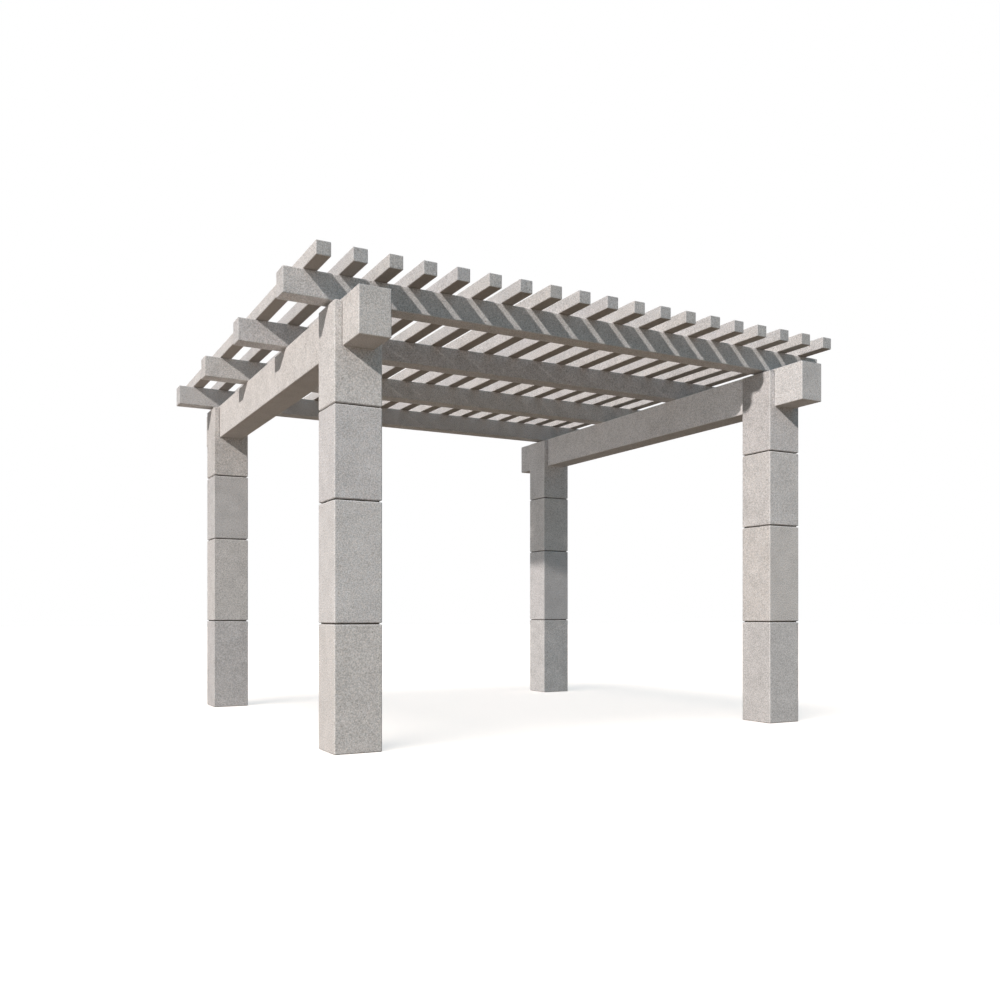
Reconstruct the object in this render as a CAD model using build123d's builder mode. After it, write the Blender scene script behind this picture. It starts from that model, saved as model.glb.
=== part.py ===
from build123d import *
import os

# Free-standing pergola of cast stone.
# X runs along the cross beams, Y along the girders and slats, Z up. The front is -Y.
# The origin is on the ground at the middle of the four posts. All sizes in mm.

# Posts, built up in courses; the lowest course takes what the others leave
POST_WIDTH = 300.0
POST_HEIGHT = 2680.0
POST_SPACING_X = 3430.0
POST_SPACING_Y = 3310.0
HEAD_COURSE_HEIGHT = 605.0
UPPER_COURSE_HEIGHT = 565.0
MIDDLE_COURSE_HEIGHT = 735.0
BED_JOINT = 8.0
BED_RECESS = 13.0
POST_ARRIS = 5.0

# Girders, seated in the slots of the forked heads
GIRDER_WIDTH = 200.0
GIRDER_HEIGHT = 284.0
GIRDER_ABOVE_CHEEK = 15.0
GIRDER_PAST_POST = 275.0
SLOT_SIDE_GAP = 3.0
SLOT_ARRIS = 2.0
GIRDER_ARRIS = 4.0

# Cross beams, laid over the girders; the outer two stand over the posts
CROSS_BEAM_COUNT = 4
CROSS_BEAM_WIDTH = 140.0
CROSS_BEAM_HEIGHT = 160.0
CROSS_BEAM_PAST_POST = 285.0
CROSS_BEAM_ARRIS = 4.0

# Slats, laid over the cross beams
SLAT_COUNT = 19
SLAT_WIDTH = 90.0
SLAT_HEIGHT = 84.0
SLAT_PAST_CROSS_BEAM = 250.0
SLAT_FROM_BEAM_END = 120.0
SLAT_ARRIS = 3.0

# Levels, from the ground up
girder_top = POST_HEIGHT + GIRDER_ABOVE_CHEEK
girder_bottom = girder_top - GIRDER_HEIGHT
cross_beam_top = girder_top + CROSS_BEAM_HEIGHT
third_joint = POST_HEIGHT - HEAD_COURSE_HEIGHT
second_joint = third_joint - UPPER_COURSE_HEIGHT
first_joint = second_joint - MIDDLE_COURSE_HEIGHT

# Plan sizes that follow
half_x = POST_SPACING_X / 2
half_y = POST_SPACING_Y / 2
slot_width = GIRDER_WIDTH + 2 * SLOT_SIDE_GAP
bed_width = POST_WIDTH - 2 * BED_RECESS
girder_length = POST_SPACING_Y + POST_WIDTH + 2 * GIRDER_PAST_POST
cross_beam_length = POST_SPACING_X + POST_WIDTH + 2 * CROSS_BEAM_PAST_POST
cross_beam_pitch = POST_SPACING_Y / (CROSS_BEAM_COUNT - 1)
slat_length = POST_SPACING_Y + CROSS_BEAM_WIDTH + 2 * SLAT_PAST_CROSS_BEAM
slat_spread = cross_beam_length - 2 * SLAT_FROM_BEAM_END - SLAT_WIDTH
slat_pitch = slat_spread / (SLAT_COUNT - 1)


def save(part, name):
    part.label = name
    export_step(part, os.path.join("parts", name + ".step"))


def course_block(name, x, y, bottom, top):
    """A square course; the bed on top is set back, so the joint above it reads as a dark groove."""
    with BuildPart() as block:
        with BuildSketch(Plane.XY.offset(bottom)):
            with Locations((x, y)):
                Rectangle(POST_WIDTH, POST_WIDTH)
        extrude(amount=top - bottom - BED_JOINT)
        chamfer(block.edges(), POST_ARRIS)
        with BuildSketch(Plane.XY.offset(top - BED_JOINT)):
            with Locations((x, y)):
                Rectangle(bed_width, bed_width)
        extrude(amount=BED_JOINT)
    save(block.part, name)


def forked_head(name, x, y, bottom, top):
    """The top course; a slot open at the top leaves two cheeks that hold the girder upright."""
    with BuildPart() as head:
        with BuildSketch(Plane.XY.offset(bottom)):
            with Locations((x, y)):
                Rectangle(POST_WIDTH, POST_WIDTH)
        extrude(amount=top - bottom)
        chamfer(head.edges(), POST_ARRIS)
        with BuildSketch(Plane.XY.offset(girder_bottom)):
            with Locations((x, y)):
                Rectangle(slot_width, POST_WIDTH)
        extrude(amount=top - girder_bottom, mode=Mode.SUBTRACT)
        lips = head.edges().filter_by(Axis.Y).group_by(Axis.Z)[-1].sort_by(Axis.X)[1:-1]
        chamfer(lips, SLOT_ARRIS)
    save(head.part, name)


def girder(name, x):
    """A main beam along Y, its section drawn on the X-Z plane and run out both ways."""
    with BuildPart() as member:
        with BuildSketch(Plane.XZ):
            with Locations((x, girder_bottom)):
                Rectangle(GIRDER_WIDTH, GIRDER_HEIGHT, align=(Align.CENTER, Align.MIN))
        extrude(amount=girder_length / 2, both=True)
        chamfer(member.edges(), GIRDER_ARRIS)
    save(member.part, name)


def cross_beam(name, y):
    """A beam along X, its section drawn on the Y-Z plane and run out both ways."""
    with BuildPart() as member:
        with BuildSketch(Plane.YZ):
            with Locations((y, girder_top)):
                Rectangle(CROSS_BEAM_WIDTH, CROSS_BEAM_HEIGHT, align=(Align.CENTER, Align.MIN))
        extrude(amount=cross_beam_length / 2, both=True)
        chamfer(member.edges(), CROSS_BEAM_ARRIS)
    save(member.part, name)


def slat(name, x):
    """A light slat along Y."""
    with BuildPart() as member:
        with BuildSketch(Plane.XZ):
            with Locations((x, cross_beam_top)):
                Rectangle(SLAT_WIDTH, SLAT_HEIGHT, align=(Align.CENTER, Align.MIN))
        extrude(amount=slat_length / 2, both=True)
        chamfer(member.edges(), SLAT_ARRIS)
    save(member.part, name)


os.makedirs("parts", exist_ok=True)

posts = {
    "post_front_left": (-half_x, -half_y),
    "post_front_right": (half_x, -half_y),
    "post_back_left": (-half_x, half_y),
    "post_back_right": (half_x, half_y),
}
for post, (x, y) in posts.items():
    course_block(post + "_course_1", x, y, 0.0, first_joint)
    course_block(post + "_course_2", x, y, first_joint, second_joint)
    course_block(post + "_course_3", x, y, second_joint, third_joint)
    forked_head(post + "_head", x, y, third_joint, POST_HEIGHT)

girder("girder_left", -half_x)
girder("girder_right", half_x)

for index in range(CROSS_BEAM_COUNT):
    cross_beam("cross_beam_" + str(index + 1), -half_y + index * cross_beam_pitch)

for index in range(SLAT_COUNT):
    slat("slat_" + str(index + 1).zfill(2), -slat_spread / 2 + index * slat_pitch)
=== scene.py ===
import bpy
import math
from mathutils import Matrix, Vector


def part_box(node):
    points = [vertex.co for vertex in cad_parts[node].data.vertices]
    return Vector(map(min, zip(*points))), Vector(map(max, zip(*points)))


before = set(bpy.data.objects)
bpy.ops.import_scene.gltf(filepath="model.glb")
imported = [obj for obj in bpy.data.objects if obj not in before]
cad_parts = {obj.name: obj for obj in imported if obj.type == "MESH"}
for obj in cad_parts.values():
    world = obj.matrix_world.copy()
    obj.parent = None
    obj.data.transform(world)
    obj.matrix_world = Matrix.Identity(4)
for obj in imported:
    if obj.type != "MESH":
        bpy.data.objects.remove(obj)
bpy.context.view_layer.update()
scene = bpy.context.scene

# The photograph: a level camera, raised by lens shift, from the front left
PHOTO_SIDE = 1000.0
FOCAL = 955.0
HORIZON_ROW = 614.7
CAMERA_PLACE = (-3.678, -7.194, 0.825)
CAMERA_TURN = 0.4963
SENSOR_WIDTH = 36.0
FAR_CLIP = 200.0

# Keys: one warm light from the front left. The photograph's shadows fall at a different slope on each group
# of pieces, so each group has a key of its own: where it comes from, its level, its spread in degrees and
# how the names of the pieces that it lights start. No piece is lit by two keys.
KEY_COLOUR = (1.0, 0.935, 0.888)
KEYS = {
    "slat_key": ((-1.0, -0.36, 0.70), 0.95, 0.8, ("slat",)),
    "stripe_key": ((-1.0, -0.56, 1.0), 1.0, 0.8, ("cross_beam_1",)),
    "middle_key": (
        (-1.0, -0.52, 0.64), 0.86, 0.8,
        ("cross_beam_2", "cross_beam_3", "cross_beam_4", "post_back_left"),
    ),
    "low_key": ((-1.0, -0.48, 0.36), 0.92, 0.8, ("girder_left",)),
    "far_key": ((-1.0, -0.48, 0.36), 0.79, 0.8, ("girder_right",)),
    "front_key": ((-1.0, -0.56, 0.62), 1.01, 2.5, ("post_front",)),
    "grazing_key": ((-1.0, -0.31, 0.312), 0.65, 2.0, ("post_back_right",)),
    "floor_key": ((-0.35, -0.20, 1.0), 0.62, 25.0, ("floor",)),
}

# Panels far out: a low one on the left fills in the far side that the near side keeps in shade, and one on
# the right lights what is turned away from the keys. Each has its place, the side that it shines from, its
# watts and how the names of the pieces that it lights start.
PANEL_SIZE = (8.0, 1.2)
PANELS = {
    "inner_fill": ((-14.0, -4.0, 0.7), (-1.0, 0.0, 0.0), 600.0, ("girder_right", "post_back_right")),
    "right_fill": ((14.0, 0.0, 2.0), (1.0, 0.0, 0.0), 250.0, ("post", "girder", "cross_beam", "slat")),
}

# World: a quiet sky all round, and more of it from the left, the front and the back, each with its axis,
# the sign along it, its colour and its level
WHITE = (1.0, 1.0, 1.0)
SKY_COLOUR = (0.79, 1.0, 1.17)
SKY_LEVEL = 0.17
GLOWS = (
    ("X", -1.0, (1.0, 0.93, 0.86), 0.14),
    ("Y", -1.0, (0.20, 0.76, 1.05), 0.17),
    ("Y", 1.0, SKY_COLOUR, 0.10),
)

# Floor: its colour and glow where it is seen, and the duller colours that it throws back up, which turn from
# the one on the left to the one under the object between two places along X
FLOOR_REACH = 60.0
FLOOR_SEEN = (0.80, 0.72, 0.66)
FLOOR_GLOW = 0.62
THROWN_LEFT = (0.50, 0.43, 0.37)
THROWN_NEAR = (0.24, 0.18, 0.125)
THROWN_LEFT_X = -3.5
THROWN_NEAR_X = -0.5

# Stone: the colours of its grain, pits, painted highlight on arrises, painted shade on undersides and bed
# joints
SAND_DARK = (0.37, 0.362, 0.357)
SAND_MIDDLE = (0.615, 0.60, 0.59)
SAND_LIGHT = (0.86, 0.838, 0.83)
TINT_COOL = (0.982, 0.997, 1.018)
TINT_WARM = (1.025, 1.0, 0.985)
PIT_COLOUR = (0.19, 0.15, 0.12)
ARRIS_HIGHLIGHT_COLOUR = (0.86, 0.845, 0.83)
MORTAR_COLOUR = (0.075, 0.06, 0.05)
PAINTED_UNDER_SHADE_COLOUR = (0.24, 0.20, 0.165)

# Each piece takes the next of these tones, and its pattern starts a step further on
TONES = (
    (1.0, 1.0, 1.0),
    (0.97, 0.97, 0.98),
    (1.02, 1.015, 1.005),
    (0.955, 0.96, 0.965),
    (1.0, 0.99, 0.975),
)
PATTERN_STEP = (0.37, 0.61, 0.23)

# The patterns: the scale, detail and roughness of each noise, and the ramp that turns it into a colour or
# a share
SAND_NOISE = (130.0, 3.0, 0.75)
TINT_NOISE = (80.0, 2.0, 0.6)
CLOUD_NOISE = (7.0, 5.0, 0.65)
PATCH_NOISE = (17.0, 2.0, 0.6)
FINE_NOISE = (260.0, 2.0, 0.6)
PIT_SCALE = 38.0
SAND_RAMP = ((0.36, SAND_DARK), (0.50, SAND_MIDDLE), (0.64, SAND_LIGHT))
CLOUD_RAMP = ((0.32, SAND_DARK), (0.68, SAND_LIGHT))
TINT_RAMP = ((0.36, TINT_COOL), (0.64, TINT_WARM))
PIT_RAMP = ((0.0, 1.0), (0.13, 0.8), (0.22, 0.0))
PATCH_RAMP = ((0.50, 0.0), (0.60, 1.0))
CLOUD_SHARE = 0.20
PIT_SHARE = 0.6

# Arrises are rounded, and a painted highlight makes them paler where the rounded normal leaves the face's
# own
ARRIS_RADIUS = 0.006
ARRIS_SAMPLES = 6
ARRIS_HIGHLIGHT_RAMP = ((0.86, 0.85), (0.995, 0.0))

# Undersides: painted shade sets in where a face turns down by the first of these and is full at the second,
# and how dark the painted shade on a piece gets goes by its kind
UNDER_SHADE_START = 0.6
UNDER_SHADE_FULL = 0.95
PAINTED_UNDER_SHADE = {"slat": 0.75, "girder": 0.35}

# Mortar is seen in the recessed bed on top of a course, from just above the arris of the block
BED_JOINT = 0.008
MORTAR_LIFT = 0.0002

# Relief and finish
SAND_RELIEF = 0.5
FINE_RELIEF = 0.3
PIT_RELIEF = 0.6
BUMP_STRENGTH = 0.5
BUMP_DEPTH = 0.0022
ROUGHNESS = 0.88
SPECULAR = 0.3

# A mix node has a set of sockets for each kind of data; these are the ones for colours
COLOUR_A = 6
COLOUR_B = 7
COLOUR_MIXED = 2


def fresh_tree(owner):
    """Gives the empty node tree of a material or world."""
    owner.use_nodes = True
    owner.node_tree.nodes.clear()
    return owner.node_tree


def feed(tree, socket, value):
    """Links an output to the socket, or sets a number, vector or colour on it."""
    if isinstance(value, bpy.types.NodeSocket):
        tree.links.new(value, socket)
    else:
        socket.default_value = (*value, 1.0) if socket.type == "RGBA" else value


def node(tree, kind, **inputs):
    """Adds a node and feeds its inputs, whose names have an underscore for each space."""
    made = tree.nodes.new(kind)
    for name, value in inputs.items():
        feed(tree, made.inputs[name.replace("_", " ")], value)
    return made


def ramp(tree, source, stops):
    """Turns a number into a colour, or into another number, from stops of place and shade."""
    made = node(tree, "ShaderNodeValToRGB", Fac=source)
    marks = made.color_ramp.elements
    while len(marks) < len(stops):
        marks.new(0.5)
    for mark, (place, shade) in zip(marks, stops):
        mark.position = place
        mark.color = (shade, shade, shade, 1.0) if isinstance(shade, float) else (*shade, 1.0)
    return made.outputs["Color"]


def mix(tree, amount, a, b, kind="MIX"):
    """Mixes two colours."""
    made = tree.nodes.new("ShaderNodeMix")
    made.data_type = "RGBA"
    made.blend_type = kind
    feed(tree, made.inputs["Factor"], amount)
    feed(tree, made.inputs[COLOUR_A], a)
    feed(tree, made.inputs[COLOUR_B], b)
    return made.outputs[COLOUR_MIXED]


def math_node(tree, operation, a, b):
    """Works on two numbers; a product or a sum is kept between nought and one."""
    made = tree.nodes.new("ShaderNodeMath")
    made.operation = operation
    made.use_clamp = operation in ("MULTIPLY", "ADD")
    feed(tree, made.inputs[0], a)
    feed(tree, made.inputs[1], b)
    return made.outputs[0]


def add_shaders(tree, a, b):
    """Adds the light of two shaders."""
    made = tree.nodes.new("ShaderNodeAddShader")
    feed(tree, made.inputs[0], a)
    feed(tree, made.inputs[1], b)
    return made.outputs[0]


def show_or_light(tree, lights, shows, output):
    """Ends a tree: one shader lights the object, the other shows straight, in a gloss or through glass."""
    path = tree.nodes.new("ShaderNodeLightPath")
    seen = math_node(tree, "ADD", path.outputs["Is Camera Ray"], path.outputs["Is Glossy Ray"])
    seen = math_node(tree, "ADD", seen, path.outputs["Is Transmission Ray"])
    pick = tree.nodes.new("ShaderNodeMixShader")
    feed(tree, pick.inputs[0], seen)
    feed(tree, pick.inputs[1], lights)
    feed(tree, pick.inputs[2], shows)
    node(tree, output, Surface=pick.outputs[0])


def stone(name, tone, shift, under_shade_level, joint_level):
    """Cast stone: grain, clouds, pits, painted highlight on arrises, painted shade on undersides and, above
    joint_level, mortar.
    """
    made = bpy.data.materials.new(name)
    tree = fresh_tree(made)
    where = tree.nodes.new("ShaderNodeTexCoord").outputs["Object"]
    place = node(tree, "ShaderNodeMapping", Vector=where, Location=shift).outputs["Vector"]

    def noise(scale, detail, roughness):
        grain = node(tree, "ShaderNodeTexNoise", Vector=place, Scale=scale, Detail=detail)
        feed(tree, grain.inputs["Roughness"], roughness)
        return grain.outputs["Fac"]

    sand = noise(*SAND_NOISE)
    tint = noise(*TINT_NOISE)
    clouds = noise(*CLOUD_NOISE)
    fine = noise(*FINE_NOISE)
    pits = node(tree, "ShaderNodeTexVoronoi", Vector=place, Scale=PIT_SCALE)
    pit_near = ramp(tree, pits.outputs["Distance"], PIT_RAMP)
    pit_some = ramp(tree, noise(*PATCH_NOISE), PATCH_RAMP)
    pit = math_node(tree, "MULTIPLY", pit_near, pit_some)

    colour = ramp(tree, sand, SAND_RAMP)
    colour = mix(tree, CLOUD_SHARE, colour, ramp(tree, clouds, CLOUD_RAMP))
    colour = mix(tree, 1.0, colour, ramp(tree, tint, TINT_RAMP), "MULTIPLY")
    colour = mix(tree, math_node(tree, "MULTIPLY", pit, PIT_SHARE), colour, PIT_COLOUR)
    colour = mix(tree, 1.0, colour, tone, "MULTIPLY")

    face = tree.nodes.new("ShaderNodeNewGeometry").outputs["True Normal"]
    face_parts = node(tree, "ShaderNodeSeparateXYZ", Vector=face)
    # Painted shade: faces that turn down are darkened towards the underside colour, more on some kinds of
    # piece
    downward = math_node(tree, "MULTIPLY", face_parts.outputs["Z"], -1.0)
    under = ramp(tree, downward, ((UNDER_SHADE_START, 0.0), (UNDER_SHADE_FULL, under_shade_level)))
    colour = mix(tree, under, colour, PAINTED_UNDER_SHADE_COLOUR)

    rounded = node(tree, "ShaderNodeBevel", Radius=ARRIS_RADIUS)
    rounded.samples = ARRIS_SAMPLES
    turn = tree.nodes.new("ShaderNodeVectorMath")
    turn.operation = "DOT_PRODUCT"
    feed(tree, turn.inputs[0], rounded.outputs["Normal"])
    feed(tree, turn.inputs[1], face)
    # Painted highlight: arrises turn paler where the rounded normal leaves the face's own
    colour = mix(tree, ramp(tree, turn.outputs["Value"], ARRIS_HIGHLIGHT_RAMP), colour, ARRIS_HIGHLIGHT_COLOUR)

    if joint_level is not None:
        place_parts = node(tree, "ShaderNodeSeparateXYZ", Vector=where)
        mortar = math_node(tree, "GREATER_THAN", place_parts.outputs["Z"], joint_level)
        colour = mix(tree, mortar, colour, MORTAR_COLOUR)

    sand_height = math_node(tree, "MULTIPLY", sand, SAND_RELIEF)
    fine_height = math_node(tree, "MULTIPLY", fine, FINE_RELIEF)
    pit_depth = math_node(tree, "MULTIPLY", pit, PIT_RELIEF)
    height = math_node(tree, "SUBTRACT", math_node(tree, "ADD", sand_height, fine_height), pit_depth)
    bump = node(tree, "ShaderNodeBump", Strength=BUMP_STRENGTH, Distance=BUMP_DEPTH)
    feed(tree, bump.inputs["Height"], height)
    feed(tree, bump.inputs["Normal"], rounded.outputs["Normal"])

    skin = node(tree, "ShaderNodeBsdfPrincipled", Roughness=ROUGHNESS, Specular_IOR_Level=SPECULAR)
    feed(tree, skin.inputs["Base Color"], colour)
    feed(tree, skin.inputs["Normal"], bump.outputs["Normal"])
    node(tree, "ShaderNodeOutputMaterial", Surface=skin.outputs["BSDF"])
    return made


def add_lamp(light, source, prefixes):
    """Turns a lamp to shine from source, and lights only what has a name that starts so."""
    lamp = bpy.data.objects.new(light.name, light)
    lamp.rotation_euler = (-Vector(source)).to_track_quat("-Z", "Y").to_euler()
    scene.collection.objects.link(lamp)
    lit = bpy.data.collections.new(light.name + "_lit")
    for piece in (*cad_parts.values(), floor):
        if piece.name.startswith(prefixes):
            lit.objects.link(piece)
    lamp.light_linking.receiver_collection = lit
    return lamp


for index, name in enumerate(sorted(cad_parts)):
    tone = TONES[index % len(TONES)]
    shift = tuple(step * index for step in PATTERN_STEP)
    # How dark the painted shade on a piece's undersides gets goes by its kind
    under_shade_level = PAINTED_UNDER_SHADE.get(name.split("_")[0], 0.0)
    joint_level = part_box(name)[1][2] - BED_JOINT + MORTAR_LIFT if "_course_" in name else None
    look = stone("stone_" + name, tone, shift, under_shade_level, joint_level)
    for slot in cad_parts[name].material_slots:
        slot.material = look

# Floor: reads white to the camera and keeps a light shadow; what it throws back up is warm and dull
floor_mesh = bpy.data.meshes.new("floor")
floor_corners = [
    (-FLOOR_REACH, -FLOOR_REACH, 0.0),
    (FLOOR_REACH, -FLOOR_REACH, 0.0),
    (FLOOR_REACH, FLOOR_REACH, 0.0),
    (-FLOOR_REACH, FLOOR_REACH, 0.0),
]
floor_mesh.from_pydata(floor_corners, [], [(0, 1, 2, 3)])
floor = bpy.data.objects.new("floor", floor_mesh)
scene.collection.objects.link(floor)
floor_look = bpy.data.materials.new("floor")
tree = fresh_tree(floor_look)
seen = node(tree, "ShaderNodeBsdfDiffuse", Color=FLOOR_SEEN)
glow = node(tree, "ShaderNodeEmission", Color=WHITE, Strength=FLOOR_GLOW)
ground = tree.nodes.new("ShaderNodeNewGeometry")
along = node(tree, "ShaderNodeSeparateXYZ", Vector=ground.outputs["Position"])
side = node(tree, "ShaderNodeMapRange", From_Min=THROWN_LEFT_X, From_Max=THROWN_NEAR_X)
feed(tree, side.inputs["Value"], along.outputs["X"])
thrown_colour = mix(tree, side.outputs["Result"], THROWN_LEFT, THROWN_NEAR)
thrown = node(tree, "ShaderNodeBsdfDiffuse", Color=thrown_colour)
bright = add_shaders(tree, seen.outputs[0], glow.outputs[0])
show_or_light(tree, thrown.outputs[0], bright, "ShaderNodeOutputMaterial")
floor_mesh.materials.append(floor_look)

# World: white where it is seen, a quiet sky where it lights
world = bpy.data.worlds.new("studio")
scene.world = world
tree = fresh_tree(world)
direction = tree.nodes.new("ShaderNodeTexCoord").outputs["Generated"]
direction_parts = node(tree, "ShaderNodeSeparateXYZ", Vector=direction)
sky = node(tree, "ShaderNodeBackground", Color=SKY_COLOUR, Strength=SKY_LEVEL).outputs[0]
for axis, sign, colour, level in GLOWS:
    strength = math_node(tree, "MULTIPLY", direction_parts.outputs[axis], sign * level)
    glow = node(tree, "ShaderNodeBackground", Color=colour, Strength=strength)
    sky = add_shaders(tree, sky, glow.outputs[0])
white = node(tree, "ShaderNodeBackground", Color=WHITE, Strength=1.0)
show_or_light(tree, sky, white.outputs[0], "ShaderNodeOutputWorld")

for name, (source, level, spread, prefixes) in KEYS.items():
    sun = bpy.data.lights.new(name, "SUN")
    sun.energy = level * math.pi
    sun.angle = math.radians(spread)
    sun.color = KEY_COLOUR
    add_lamp(sun, source, prefixes)

for name, (place, source, watts, prefixes) in PANELS.items():
    panel = bpy.data.lights.new(name, "AREA")
    panel.shape = "RECTANGLE"
    panel.size, panel.size_y = PANEL_SIZE
    panel.energy = watts
    lamp = add_lamp(panel, source, prefixes)
    lamp.location = place
    lamp.visible_camera = False

lens = bpy.data.cameras.new("camera")
lens.sensor_width = SENSOR_WIDTH
lens.lens = FOCAL / PHOTO_SIDE * SENSOR_WIDTH
lens.shift_y = (HORIZON_ROW - PHOTO_SIDE / 2) / PHOTO_SIDE
lens.clip_end = FAR_CLIP
camera = bpy.data.objects.new("camera", lens)
camera.location = CAMERA_PLACE
camera.rotation_euler = (math.pi / 2, 0.0, -CAMERA_TURN)
scene.collection.objects.link(camera)
scene.camera = camera

scene.view_settings.view_transform = "Standard"
